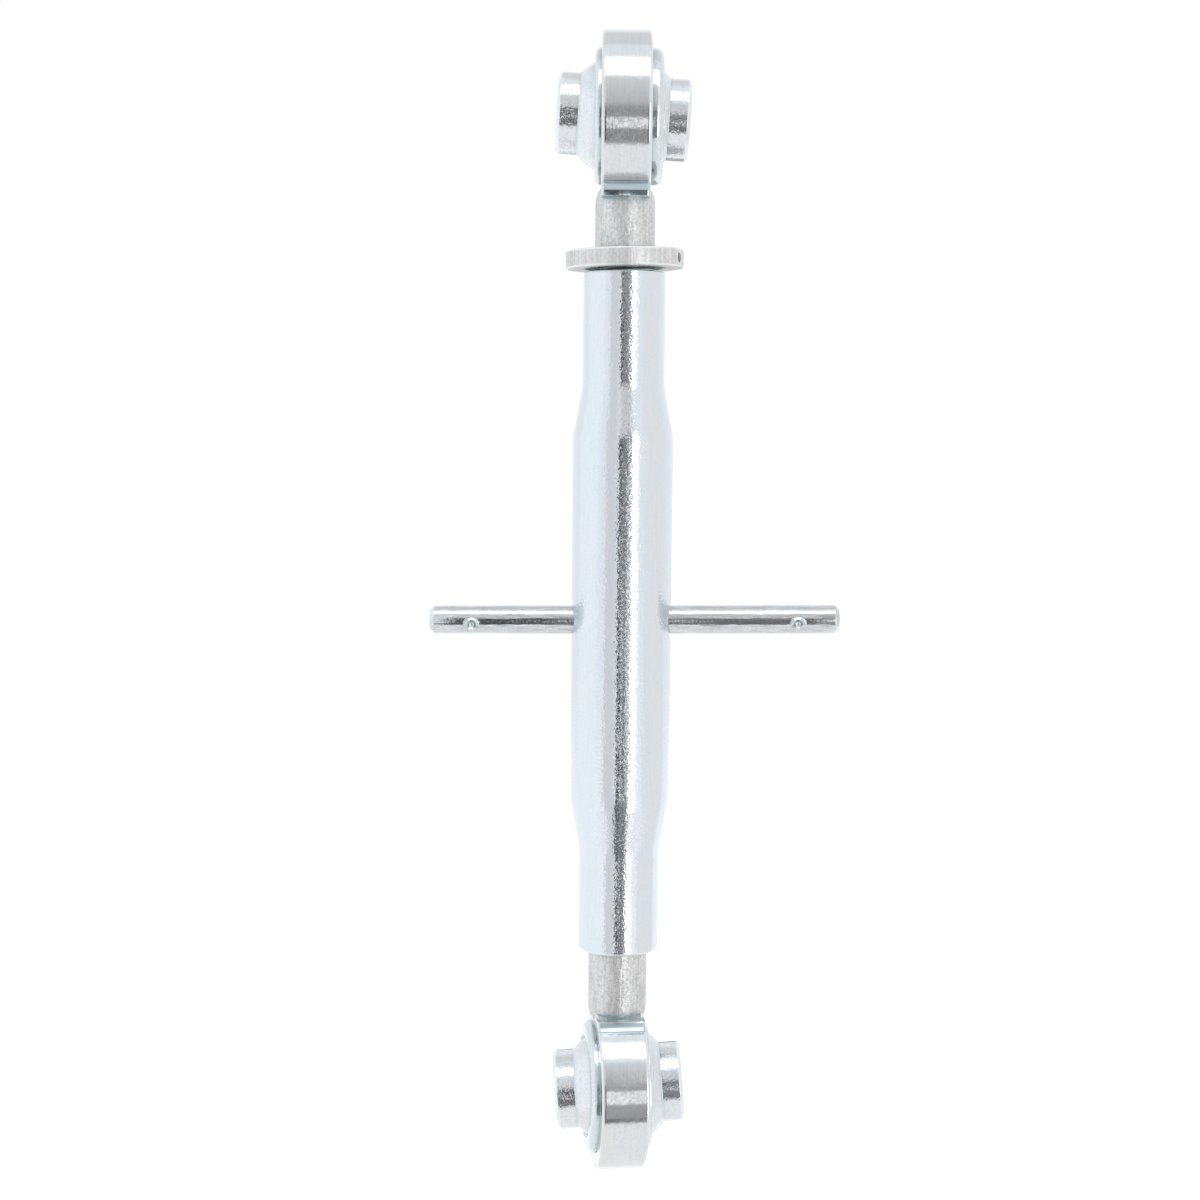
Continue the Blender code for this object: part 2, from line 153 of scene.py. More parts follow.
# Round the bar from straight down: towards the camera, and a little down from there
STAKE_ANGLE = -pi / 2 + radians(STAKE_BEARING)

# Points round each turned piece
BARREL_STEPS = 128
BAR_STEPS = 112
NUT_STEPS = 144
EYE_STEPS = 160
ROD_STEPS = 72
RACE_STEPS = 144
BALL_STEPS = 144

# How the meshes are made
MERGE_DISTANCE = 0.000001
SHARP_ANGLE = 28
ROUNDING_SHARE = 0.48
CUTTER_RISE = 0.05 * MM
MOST_BEND = 3.0

# Places of the pieces
ALONG_X = Matrix.Rotation(pi / 2, 4, "Y")
TOP_EYE = Matrix.Translation((LINK_X, 0, 0))
BOTTOM_EYE = (
    Matrix.Translation((LINK_X, 0, BOTTOM_EYE_Z))
    @ Matrix.Rotation(radians(BOTTOM_EYE_YAW), 4, "Z")
    @ Matrix.Rotation(pi, 4, "Y")
)
BALL_IN_EYE = Matrix.Translation((-BALL_SET_BACK, 0, 0))
NUT_MIDDLE = Matrix.Translation((0, 0, NUT_THICKNESS / 2))
NUT_LEAN = NUT_MIDDLE.inverted() @ Matrix.Rotation(radians(NUT_TILT), 4, "Y") @ NUT_MIDDLE
NUT_PLACE = Matrix.Translation((LINK_X, 0, NUT_TOP_Z)) @ NUT_LEAN
BAR_PLACE = (
    Matrix.Translation((LINK_X, 0, BAR_Z))
    @ Matrix.Rotation(radians(BAR_REST_TILT), 4, "Y")
    @ Matrix.Translation((BAR_REST_SHIFT, 0, 0))
)


# Outlines and meshes

def arc(centre, radius, start, end, steps):
    """Points on a circle in the outline's plane, from one angle to the other."""
    angles = [start + (end - start) * i / steps for i in range(steps + 1)]
    return [(centre[0] + radius * cos(a), centre[1] + radius * sin(a)) for a in angles]


def rounded(corners, steps=5):
    """An outline through corners (radius, height, rounding); no rounding takes half of a side."""
    outline = []
    for i, (x, z, rounding) in enumerate(corners):
        if rounding == 0:
            outline.append((x, z))
            continue
        here = Vector((x, z))
        before = Vector(corners[i - 1][:2]) - here
        after = Vector(corners[(i + 1) % len(corners)][:2]) - here
        half = before.angle(after) / 2
        longest = ROUNDING_SHARE * min(before.length, after.length)
        reach = min(rounding / tan(half), longest)
        radius = reach * tan(half)
        inward = (before.normalized() + after.normalized()).normalized()
        middle = here + inward * hypot(reach, radius)
        first = here + before.normalized() * reach - middle
        last = here + after.normalized() * reach - middle
        start = atan2(first.y, first.x)
        sweep = (atan2(last.y, last.x) - start + pi) % (2 * pi) - pi
        outline += arc(middle, radius, start, start + sweep, steps)
    return outline


def divided(outline, longest=4 * MM, margin=0.4 * MM, ring=True):
    """The outline with its long sides split, so that wear stays close to the edges."""
    result = []
    count = len(outline)
    for i, point in enumerate(outline):
        result.append(point)
        if i == count - 1 and not ring:
            break
        here, there = Vector(point), Vector(outline[(i + 1) % count])
        length = (there - here).length
        if length < 3 * margin:
            continue
        parts = max(1, int((length - 2 * margin) / longest) + 1)
        for k in range(parts + 1):
            share = (margin + (length - 2 * margin) * k / parts) / length
            result.append(tuple(here.lerp(there, share)))
    return result


def mesh_object(name, points, faces):
    """A mesh piece from points and faces, with doubled points merged and normals out."""
    mesh = bpy.data.meshes.new(name)
    mesh.from_pydata([tuple(p) for p in points], [], faces)
    shape = bmesh.new()
    shape.from_mesh(mesh)
    bmesh.ops.remove_doubles(shape, verts=shape.verts, dist=MERGE_DISTANCE)
    bmesh.ops.dissolve_degenerate(shape, edges=shape.edges, dist=MERGE_DISTANCE)
    bmesh.ops.recalc_face_normals(shape, faces=shape.faces)
    shape.to_mesh(mesh)
    shape.free()
    piece = bpy.data.objects.new(name, mesh)
    bpy.context.scene.collection.objects.link(piece)
    return piece


def turned(name, outline, steps, place, ring=True):
    """A solid turned about its own Z from an outline, set at its place."""
    count = len(outline)
    points = []
    faces = []
    for i in range(steps):
        angle = 2 * pi * i / steps
        for radius, height in outline:
            points.append(place @ Vector((radius * cos(angle), radius * sin(angle), height)))
        here = i * count
        there = (i + 1) % steps * count
        for j in range(count if ring else count - 1):
            k = (j + 1) % count
            faces.append((here + j, there + j, there + k, here + k))
    return mesh_object(name, points, faces)


def cut(piece, cutter, operation="DIFFERENCE"):
    """Cuts or joins another solid and drops it."""
    boolean = piece.modifiers.new(cutter.name, "BOOLEAN")
    boolean.operation = operation
    boolean.solver = "EXACT"
    boolean.object = cutter
    graph = bpy.context.evaluated_depsgraph_get()
    mesh = bpy.data.meshes.new_from_object(piece.evaluated_get(graph))
    piece.modifiers.clear()
    piece.data = mesh
    bpy.data.objects.remove(cutter, do_unlink=True)


def join(name, pieces):
    """Several meshes as one piece."""
    shape = bmesh.new()
    for piece in pieces:
        shape.from_mesh(piece.data)
        bpy.data.objects.remove(piece, do_unlink=True)
    mesh = bpy.data.meshes.new(name)
    shape.to_mesh(mesh)
    shape.free()
    piece = bpy.data.objects.new(name, mesh)
    bpy.context.scene.collection.objects.link(piece)
    return piece


def mark_curvature(mesh):
    """Stores how sharply the surface bends out or in, per millimetre, for wear and for the teal
    tint and painted shade in hollows.
    """
    shape = bmesh.new()
    shape.from_mesh(mesh)
    shape.normal_update()
    worn = []
    hollow = []
    for point in shape.verts:
        bends = [0.0]
        for edge in point.link_edges:
            side = point.co - edge.other_vert(point).co
            bends.append(2 * point.normal.dot(side) / max(side.length_squared, 1e-12))
        worn.append(max(bends))
        hollow.append(-min(bends))
    shape.free()
    for name, values in (("worn", worn), ("hollow", hollow)):
        layer = mesh.attributes.new(name, "FLOAT", "POINT")
        layer.data.foreach_set("value", [min(max(v * MM, 0.0), MOST_BEND) for v in values])


def dress(piece, material, body, nodes):
    """Shades a piece, gives it its finish, and sets what it rides on and stands for."""
    mesh = piece.data
    mesh.materials.clear()
    mesh.materials.append(material)
    mesh.shade_smooth()
    mesh.set_sharp_from_angle(angle=radians(SHARP_ANGLE))
    mark_curvature(mesh)
    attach(piece, body)
    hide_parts(*nodes)
    return piece


# Materials

WHITE = (1.0, 1.0, 1.0)
COOL_WHITE = (0.97, 1.0, 1.03)
GRAIN_SIZE = 0.9 * MM
SPOT_SIZE = 0.9 * MM
PEEL_SIZE = 3.5 * MM
PATCH_SIZE = 14 * MM
# Reach of the ambient occlusion that paints shade between pieces
OCCLUSION_DISTANCE = 3.0 * MM
GRIME = (0.1, 0.1, 0.1)
# Dark teal painted as shade where pieces nearly meet
CREVICE_SHADE_COLOUR = (0.38, 0.49, 0.51)


def node(tree, kind, inputs=None, **settings):
    """A shader node with its settings, and with its inputs set or linked."""
    made = tree.nodes.new(kind)
    for name, value in settings.items():
        setattr(made, name, value)
    for name, value in (inputs or {}).items():
        socket = made.inputs[name]
        if isinstance(value, bpy.types.NodeSocket):
            tree.links.new(value, socket)
        else:
            socket.default_value = value
    return made


def math(tree, operation, first, second=0.0):
    """A sum of two numbers or sockets."""
    return node(tree, "ShaderNodeMath", {0: first, 1: second}, operation=operation).outputs[0]


def ranged(tree, value, low, high, to_low=0.0, to_high=1.0):
    """The value taken from one range to another, smoothly and without passing its ends."""
    made = node(tree, "ShaderNodeMapRange", {
        "Value": value, "From Min": low, "From Max": high, "To Min": to_low, "To Max": to_high,
    }, interpolation_type="SMOOTHSTEP")
    return made.outputs["Result"]


def mixed(tree, factor, first, second):
    """A colour between two; 6 and 7 are the mix node's colours and 2 is its result."""
    made = node(tree, "ShaderNodeMix", {0: factor}, data_type="RGBA")
    for index, value in ((6, first), (7, second)):
        if isinstance(value, bpy.types.NodeSocket):
            tree.links.new(value, made.inputs[index])
        else:
            made.inputs[index].default_value = (*value, 1.0)
    return made.outputs[2]


def noise(tree, vector, size, detail=2.0, stretch=(1.0, 1.0, 1.0), roughness=0.55):
    """Noise with features of that size in metres, stretched along the axes."""
    scaled = node(tree, "ShaderNodeMapping", {
        "Vector": vector, "Scale": tuple(1.0 / s for s in stretch),
    })
    made = node(tree, "ShaderNodeTexNoise", {
        "Vector": scaled.outputs[0], "Scale": 1.0 / size, "Detail": detail, "Roughness": roughness,
    })
    return made.outputs[0]


def zinc(
    name, colour, tint, rough, grain_depth, line_depth, peel_depth=0.02 * MM,
    line_size=0.25 * MM, lines_along="Z", line_length=60.0, speckle=0.25,
    line_shade=0.08, grain_shade=0.08, hollow_tint_shade_amount=0.5, crevice_shade_amount=0.7,
):
    """Bright zinc plate: grain, drawn or turned lines, a faint teal tint with painted shade in
    hollows, painted shade where pieces nearly meet, wear on edges.
    """
    material = bpy.data.materials.new(name)
    material.use_nodes = True
    tree = material.node_tree
    shader = tree.nodes["Principled BSDF"]
    shader.inputs["Metallic"].default_value = 1.0
    place = node(tree, "ShaderNodeTexCoord").outputs["Object"]
    stretch = [line_length if axis in lines_along else 1.0 for axis in "XYZ"]

    fine = noise(tree, place, GRAIN_SIZE, detail=1.5, roughness=0.6)
    lines = noise(tree, place, line_size, detail=2.0, stretch=stretch)
    peel = noise(tree, place, PEEL_SIZE, detail=1.0)
    patches = noise(tree, place, PATCH_SIZE, detail=3.0)
    spots = noise(tree, place, SPOT_SIZE, detail=2.0)

    # Where edges are rubbed, where the surface bends in (teal tint and painted shade) and where two
    # pieces nearly meet (painted shade)
    worn = node(tree, "ShaderNodeAttribute", attribute_name="worn").outputs["Fac"]
    hollow = node(tree, "ShaderNodeAttribute", attribute_name="hollow").outputs["Fac"]
    occlusion = node(tree, "ShaderNodeAmbientOcclusion", {"Distance": OCCLUSION_DISTANCE}, samples=6)
    edge = math(tree, "MULTIPLY", ranged(tree, worn, 0.35, 1.2), ranged(tree, patches, 0.35, 0.6))
    # Hollows get a teal tint that is darkened as painted shade
    hollow_tint_shade_mask = math(tree, "MULTIPLY", ranged(tree, hollow, 0.07, 0.16), hollow_tint_shade_amount)
    # Painted shade: the colour darkens towards a dark teal where ambient occlusion finds pieces
    # close together
    crevice_shade_mask = ranged(tree, occlusion.outputs["AO"], 0.95, 0.45, 0.0, crevice_shade_amount)

    # Colour
    darker = tuple(0.84 * c for c in colour)
    bright = tuple(min(1.08 * c, 0.95) for c in colour)
    # Teal of the hollows, darker than the plate: a tint with painted shade in it
    shaded_teal = (colour[0] * 0.5, colour[1] * 0.66, colour[2] * 0.70)
    base = mixed(tree, ranged(tree, patches, 0.35, 0.65), colour, tint)
    base = mixed(tree, ranged(tree, lines, 0.35, 0.7, 0.0, line_shade), base, GRIME)
    base = mixed(tree, ranged(tree, fine, 0.4, 0.7, 0.0, grain_shade), base, GRIME)
    base = mixed(tree, ranged(tree, spots, 0.62, 0.74, 0.0, speckle), base, darker)
    # Teal tint and painted shade in hollows
    base = mixed(tree, hollow_tint_shade_mask, base, shaded_teal)
    # Painted shade where pieces nearly meet
    base = mixed(tree, crevice_shade_mask, base, CREVICE_SHADE_COLOUR)
    base = mixed(tree, edge, base, bright)
    tree.links.new(base, shader.inputs["Base Color"])

    # Gloss
    gloss = ranged(tree, patches, 0.3, 0.7, rough * 0.85, rough * 1.2)
    gloss = math(tree, "ADD", gloss, ranged(tree, fine, 0.3, 0.7, -0.03, 0.05))
    gloss = math(tree, "SUBTRACT", gloss, math(tree, "MULTIPLY", edge, 0.06))
    tree.links.new(gloss, shader.inputs["Roughness"])

    # Relief, in millimetres
    height = math(tree, "MULTIPLY", fine, grain_depth / MM)
    for layer, depth in ((lines, line_depth), (peel, peel_depth)):
        height = math(tree, "ADD", height, math(tree, "MULTIPLY", layer, depth / MM))
    bump = node(tree, "ShaderNodeBump", {"Height": height, "Strength": 1.0, "Distance": MM})
    tree.links.new(bump.outputs["Normal"], shader.inputs["Normal"])
    return material


def barrel_zinc():
    """Drawn tube: mirror-bright, with a fine grain that frays the reflections."""
    return zinc(
        "barrel_zinc", (0.755, 0.785, 0.815), (0.735, 0.785, 0.83), 0.07,
        grain_depth=0.085 * MM, line_depth=0.02 * MM, line_size=0.8 * MM, line_length=8.0,
        line_shade=0.03, grain_shade=0.02, hollow_tint_shade_amount=0.6,
    )


def bar_zinc():
    """Drawn rod: streaks along its length."""
    return zinc(
        "bar_zinc", (0.74, 0.76, 0.78), (0.72, 0.755, 0.79), 0.08,
        grain_depth=0.02 * MM, line_depth=0.05 * MM, line_size=0.5 * MM, lines_along="X",
        line_length=12.0, peel_depth=0.01 * MM, speckle=0.5, line_shade=0.3, grain_shade=0.12,
        hollow_tint_shade_amount=0.1, crevice_shade_amount=0.3,
    )


def nut_zinc():
    """Turned collar: satin, with marks across its rim."""
    return zinc(
        "nut_zinc", (0.785, 0.78, 0.77), (0.765, 0.765, 0.76), 0.48,
        grain_depth=0.08 * MM, line_depth=0.08 * MM, line_size=0.7 * MM, line_length=40.0,
        line_shade=0.2, grain_shade=0.12, hollow_tint_shade_amount=0.1, crevice_shade_amount=0.2,
    )


def shank_zinc():
    """Forged shank: matt and scaly."""
    return zinc(
        "shank_zinc", (0.765, 0.76, 0.75), (0.74, 0.74, 0.735), 0.42,
        grain_depth=0.16 * MM, line_depth=0.16 * MM, line_size=0.8 * MM, line_length=9.0,
        speckle=0.8, line_shade=0.2, grain_shade=0.24,
    )


def eye_zinc():
    """Turned eye: bright, with faint lines round its rim."""
    return zinc(
        "eye_zinc", (0.75, 0.765, 0.775), (0.73, 0.76, 0.785), 0.11,
        grain_depth=0.012 * MM, line_depth=0.006 * MM, line_size=0.5 * MM, lines_along="YZ",
        line_length=30.0, peel_depth=0.01 * MM, speckle=0.3, line_shade=0.05, grain_shade=0.04,
        hollow_tint_shade_amount=0.8,
    )


def race_zinc():
    """Pressed cup: smooth and bright."""
    return zinc(
        "race_zinc", (0.76, 0.785, 0.805), (0.74, 0.78, 0.815), 0.14,
        grain_depth=0.03 * MM, line_depth=0.002 * MM,
    )


def ball_zinc():
    """Turned ball and shoulders: bright, with a coarse grain."""
    return zinc(
        "ball_zinc", (0.78, 0.80, 0.82), (0.76, 0.79, 0.82), 0.10,
        grain_depth=0.09 * MM, line_depth=0.01 * MM, line_size=0.6 * MM, lines_along="YZ",
        line_length=30.0, speckle=0.5, line_shade=0.04, grain_shade=0.07, hollow_tint_shade_amount=0.2,
    )


# Pieces

def make_barrel(material):
    """The swaged tube with a dished cross hole."""
    top_swage = -TOP_END_LENGTH
    top_tube = top_swage - SWAGE_LENGTH
    bottom_swage = BOTTOM_END_LENGTH - BARREL_LENGTH
    bottom_tube = bottom_swage + SWAGE_LENGTH
    mouth = THREAD_BORE_RADIUS + TAPPED_MOUTH_CHAMFER
    outline = divided(rounded([
        (mouth, 0, 0),
        (TAPPED_END_RADIUS, 0, BARREL_TOP_EDGE),
        (TAPPED_END_RADIUS, top_swage, SWAGE_BLEND),
        (TUBE_RADIUS, top_tube, SWAGE_BLEND),
        (TUBE_RADIUS, bottom_tube, SWAGE_BLEND),
        (TAPPED_END_RADIUS, bottom_swage, SWAGE_BLEND),
        (TAPPED_END_RADIUS, -BARREL_LENGTH, BARREL_BOTTOM_EDGE),
        (mouth, -BARREL_LENGTH, 0),
        (THREAD_BORE_RADIUS, TAPPED_MOUTH_CHAMFER - BARREL_LENGTH, 0),
        (THREAD_BORE_RADIUS, bottom_swage, 0),
        (TUBE_BORE_RADIUS, bottom_tube, 0),
        (TUBE_BORE_RADIUS, top_tube, 0),
        (THREAD_BORE_RADIUS, top_swage, 0),
        (THREAD_BORE_RADIUS, -TAPPED_MOUTH_CHAMFER, 0),
    ]), longest=6 * MM)
    place = Matrix.Translation((LINK_X, 0, BARREL_TOP_Z))
    barrel = turned("link_barrel", outline, BARREL_STEPS, place)
    middle = Matrix.Translation((LINK_X, 0, BAR_Z))
    reach = 1.3 * TUBE_RADIUS
    dish_middle = (BAR_HOLE_RADIUS + BAR_HOLE_DISH, TUBE_RADIUS - BAR_HOLE_DISH)
    dish = arc(dish_middle, BAR_HOLE_DISH, pi, pi / 2, 8)
    side = [(r, z + CUTTER_RISE) for r, z in dish] + [(dish[-1][0], reach)]
    hole = [(0, reach)] + side[::-1] + [(r, -z) for r, z in side] + [(0, -reach)]
    cut(barrel, turned("bar_hole_cutter", hole, 48, middle @ ALONG_X, ring=False))
    return dress(barrel, material, "barrel", ["barrel"])


def stake_height(along, around):
    """How far a punched stake pushes the bar's surface out, at a distance from its middle."""
    distance = hypot(along / STAKE_LONGER, around)
    if distance < STAKE_CRATER_RADIUS:
        share = distance / STAKE_CRATER_RADIUS
        return -STAKE_CRATER_DEPTH * (1 - share ** 2) ** 1.2 + STAKE_RIM_HEIGHT * share ** 6
    beyond = (distance - STAKE_CRATER_RADIUS) / STAKE_RIM_WIDTH
    return STAKE_RIM_HEIGHT * max(0.0, 1 - beyond) ** 2


def make_tommy_bar(material):
    """The sliding bar with a punched stake near each end."""
    half = BAR_LENGTH / 2
    outline = rounded([
        (0, half, 0),
        (BAR_RADIUS - BAR_END_CHAMFER, half, BAR_TIP_ROUNDING),
        (BAR_RADIUS, half - BAR_END_CHAMFER, BAR_END_ROUNDING),
        (BAR_RADIUS, BAR_END_CHAMFER - half, BAR_END_ROUNDING),
        (BAR_RADIUS - BAR_END_CHAMFER, -half, BAR_TIP_ROUNDING),
        (0, -half, 0),
    ])
    # Rows of points lie close together at the stakes and far apart between them
    middle = half - STAKE_INSET
    reach = STAKE_CRATER_RADIUS * 1.1 + STAKE_RIM_WIDTH * 1.2
    close = [middle - reach + 2 * reach * i / 26 for i in range(27)]
    heights = close + [-z for z in close] + [z * MM for z in range(-48, 49, 6)]
    heights = [z for z in heights if abs(z) < half - BAR_PLAIN_END]
    top = [p for p in outline if p[1] > 0]
    low = [p for p in outline if p[1] < 0]
    outline = top + [(BAR_RADIUS, z) for z in sorted(heights, reverse=True)] + low
    bar = turned("sliding_bar", outline, BAR_STEPS, Matrix.Identity(4), ring=False)
    for point in bar.data.vertices:
        x, y, z = point.co
        radius = hypot(x, y)
        if radius < 0.9 * BAR_RADIUS:
            continue
        around = (atan2(y, x) - STAKE_ANGLE + pi) % (2 * pi) - pi
        for side in (1, -1):
            push = stake_height(z - side * middle, around * BAR_RADIUS)
            scale = (radius + push) / radius
            point.co.x *= scale
            point.co.y *= scale
    bar.data.transform(BAR_PLACE @ ALONG_X)
    return dress(bar, material, "tommy_bar", ["tommy_bar"])


def make_lock_nut(material):
    """The round collar with its blind hole."""
    top_mouth = THREAD_BORE_RADIUS + NUT_TOP_CHAMFER
    bottom_mouth = THREAD_BORE_RADIUS + NUT_BOTTOM_CHAMFER
    outline = divided(rounded([
        (top_mouth, 0, 0),
        (NUT_RADIUS, 0, NUT_EDGE),
        (NUT_RADIUS, -NUT_THICKNESS, NUT_EDGE),
        (bottom_mouth, -NUT_THICKNESS, 0),
        (THREAD_BORE_RADIUS, NUT_BOTTOM_CHAMFER - NUT_THICKNESS, 0),
        (THREAD_BORE_RADIUS, -NUT_TOP_CHAMFER, 0),
    ]), longest=2 * MM)
    nut = turned("lock_collar", outline, NUT_STEPS, NUT_PLACE)
    bearing = Matrix.Rotation(radians(NUT_HOLE_BEARING), 4, "Z")
    rim = Matrix.Translation((0, -NUT_RADIUS, -NUT_THICKNESS / 2))
    inward = rim @ Matrix.Rotation(pi / 2, 4, "X")
    wide = NUT_HOLE_RADIUS + NUT_HOLE_EDGE
    hole = [
        (0, NUT_HOLE_DEPTH),
        (wide, NUT_HOLE_DEPTH),
        (wide, 0.0),
        (NUT_HOLE_RADIUS, -NUT_HOLE_EDGE),
        (NUT_HOLE_RADIUS, -NUT_HOLE_DEPTH),
        (0, -NUT_HOLE_DEPTH - NUT_HOLE_CONE),
    ]
    cut(nut, turned("collar_hole_cutter", hole, 40, NUT_PLACE @ bearing @ inward, ring=False))
    return dress(nut, material, "lock_nut", ["lock_nut"])


def thread_radius(height, share, tip, start):
    """The thread's surface at a share of its pitch, between the tip and where it runs out."""
    rise = min(max((abs(share - 0.5) - THREAD_CREST) / THREAD_FLANK, 0.0), 1.0)
    fade = min(max((start - height) / THREAD_FADE, 0.0), 1.0)
    radius = ROD_RADIUS - THREAD_DEPTH * rise * fade
    return min(radius, ROD_RADIUS - ROD_TIP_CHAMFER + (height - tip))


def make_thread(name, eye, tip, start, hand):
    """A helical thread from the rod's tip up to the shank, in the eye's frame."""
    steps = ROD_STEPS
    profile = (0.0, 0.125, 0.28125, 0.4375, 0.5625, 0.71875, 0.875)
    turns = int((start - tip) / THREAD_PITCH) + 3
    rows = []
    for turn in range(turns):
        for share in profile:
            row = []
            for i in range(steps + 1):
                height = tip + (turn - 1.5 + share + i / steps) * THREAD_PITCH
                height = min(max(height, tip), start)
                radius = thread_radius(height, share, tip, start)
                angle = hand * 2 * pi * i / steps
                row.append(eye @ Vector((radius * cos(angle), radius * sin(angle), height)))
            rows.append(row)
    points = [point for row in rows for point in row]
    width = steps + 1
    faces = []
    for j in range(len(rows) - 1):
        for i in range(steps):
            a = j * width + i
            faces.append((a, a + 1, a + 1 + width, a + width))
    centre = len(points)
    tip_radius = ROD_RADIUS - ROD_TIP_CHAMFER
    points.append(eye @ Vector((0, 0, tip)))
    for i in range(steps):
        angle = hand * 2 * pi * i / steps
        points.append(eye @ Vector((tip_radius * cos(angle), tip_radius * sin(angle), tip)))
    for i in range(steps):
        faces.append((centre, centre + 1 + (i + 1) % steps, centre + 1 + i))
    return mesh_object(name, points, faces)


def eye_outline():
    """The eye's section through its rim."""
    half = EYE_WIDTH / 2
    return divided(rounded([
        (EYE_BORE_RADIUS + EYE_BORE_CHAMFER, half, 0),
        (EYE_RADIUS, half, EYE_EDGE),
        (EYE_RADIUS, -half, EYE_EDGE),
        (EYE_BORE_RADIUS + EYE_BORE_CHAMFER, -half, 0),
        (EYE_BORE_RADIUS, EYE_BORE_CHAMFER - half, 0),
        (EYE_BORE_RADIUS, half - EYE_BORE_CHAMFER, 0),
    ], steps=6), longest=2.5 * MM)


def neck_profile(end):
    """The neck's front outline from the eye's rim to the flat step, as (depth, drop, lean)."""
    start = radians(NECK_START)
    rim = EYE_RADIUS - NECK_SINK
    reach = EYE_RADIUS + NECK_FILLET
    side = reach * sin(start)
    depth = reach * cos(start)
    profile = []
    for i in range(7):
        angle = start + radians(NECK_OVERLAP) * (6 - i) / 6
        profile.append((rim * sin(angle), rim * cos(angle), sin(angle)))
    first = pi - atan2(depth, side)
    last = pi - asin((depth - end) / NECK_FILLET)
    for i in range(17):
        angle = first + (last - first) * i / 16
        out = side + NECK_FILLET * cos(angle)
        down = depth - NECK_FILLET * sin(angle)
        profile.append((out, down, -cos(angle)))
    return profile


def make_neck(name, eye, end):
    """The forged neck: the fillets run straight across the eye's width, with its own edges."""
    profile = neck_profile(end)
    half = EYE_WIDTH / 2 - NECK_SINK
    corner = 6
    rows = []
    for depth, drop, lean in profile:
        along = EYE_EDGE / lean
        row = []
        for i in range(corner + 1):
            angle = pi / 2 * i / corner
            row.append((half - EYE_EDGE * (1 - sin(angle)), depth - along * (1 - cos(angle))))
        front = [(-x, -y) for x, y in row[::-1]] + [(x, -y) for x, y in row]
        back = [(x, y) for x, y in row[::-1]] + [(-x, y) for x, y in row]
        rows.append([eye @ Vector((x, y, -drop)) for x, y in front + back])
    points = [point for row in rows for point in row]
    width = len(rows[0])
    faces = []
    for j in range(len(rows) - 1):
        for i in range(width):
            k = (i + 1) % width
            faces.append((j * width + i, j * width + k, (j + 1) * width + k, (j + 1) * width + i))
    faces.append(tuple(range(width)))
    faces.append(tuple(range((len(rows) - 1) * width, len(rows) * width)))
    return mesh_object(name, points, faces)


def make_eye(name, eye, neck_end, material, rod_end):
    """The forged eye joined to its neck."""
    ring = turned(name, eye_outline(), EYE_STEPS, eye @ ALONG_X)
    cut(ring, make_neck(name + "_neck", eye, neck_end), "UNION")
    return dress(ring, material, rod_end, [rod_end])


def make_shank(name, eye, shank_length, rod_length, hand, material, rod_end):
    """The round shank with its domed head, and the thread below it."""
    end = EYE_RADIUS + shank_length
    lean = asin((SHANK_HEAD_END - SHANK_HEAD_TOP) / ROD_RADIUS)
    head = [(0, -SHANK_HEAD_TOP)] + arc((0, -SHANK_HEAD_END), ROD_RADIUS, lean, 0, 12)
    outline = divided(head + [(ROD_RADIUS, -end), (0, -end)], ring=False)
    shank = turned(name, outline, ROD_STEPS, eye, ring=False)
    thread = make_thread(name + "_thread", eye, -rod_length, -end, hand)
    rod = join(name, [shank, thread])
    return dress(rod, material, rod_end, [rod_end])


def race_outline(long_side):
    """The race's section: a spherical seat with one deep side and one shallow side."""
    long_lip = long_side - RACE_LIP_DEPTH
    short_lip = RACE_SHORT_SIDE - RACE_LIP_DEPTH
    long_mouth = sqrt(RACE_BORE_RADIUS ** 2 - long_lip ** 2) + RACE_LIP_FLARE
    short_mouth = sqrt(RACE_BORE_RADIUS ** 2 - short_lip ** 2) + RACE_LIP_FLARE
    outline = rounded([
        (long_mouth, long_side, 0),
        (RACE_RADIUS, long_side, RACE_LONG_EDGE),
        (RACE_RADIUS, -RACE_SHORT_SIDE, RACE_SHORT_EDGE),
        (short_mouth, -RACE_SHORT_SIDE, 0),
    ], steps=8)
    low = -asin(short_lip / RACE_BORE_RADIUS)
    high = asin(long_lip / RACE_BORE_RADIUS)
    return divided(outline + arc((0, 0), RACE_BORE_RADIUS, low, high, 24), longest=3 * MM)


def make_race(name, eye, long_side, material, rod_end, node_name):
    """The race pressed into its eye."""
    race = turned(name, race_outline(long_side), RACE_STEPS, eye @ BALL_IN_EYE @ ALONG_X)
    return dress(race, material, rod_end, [node_name])


def ball_outline():
    """The ball's section: a sphere with a shoulder at each side, bored for the pin."""
    half = BALL_WIDTH / 2
    fillet = SHOULDER_FILLET
    side = SHOULDER_RADIUS + fillet
    height = sqrt((BALL_RADIUS + fillet) ** 2 - side ** 2)
    lean = atan2(height, side)
    corner = rounded([
        (PIN_BORE_RADIUS, half - BORE_ROW, 0),
        (PIN_BORE_RADIUS, half - PIN_BORE_CHAMFER, BORE_ROUNDING),
        (PIN_BORE_RADIUS + PIN_BORE_CHAMFER, half, BORE_ROUNDING),
        (SHOULDER_RADIUS - BALL_CHAMFER, half, FACE_ROUNDING),
        (SHOULDER_RADIUS, half - BALL_CHAMFER, SHOULDER_ROUNDING),
        (SHOULDER_RADIUS, height + 0.5 * MM, 0),
    ])
    upper = corner + arc((side, height), fillet, pi, pi + lean, 5)
    lower = [(r, -z) for r, z in upper[::-1]]
    sphere = arc((0, 0), BALL_RADIUS, lean, -lean, 48)[1:-1]
    return divided(upper + sphere + lower, longest=3 * MM)


def make_ball(name, eye, tilt, material, body):
    """The ball at its tilt in the photograph."""
    centre = Matrix.Translation((eye @ BALL_IN_EYE).translation)
    place = centre @ Matrix.Rotation(radians(tilt), 4, "Y") @ ALONG_X
    ball = turned(name, ball_outline(), BALL_STEPS, place)
    return dress(ball, material, body, [body])


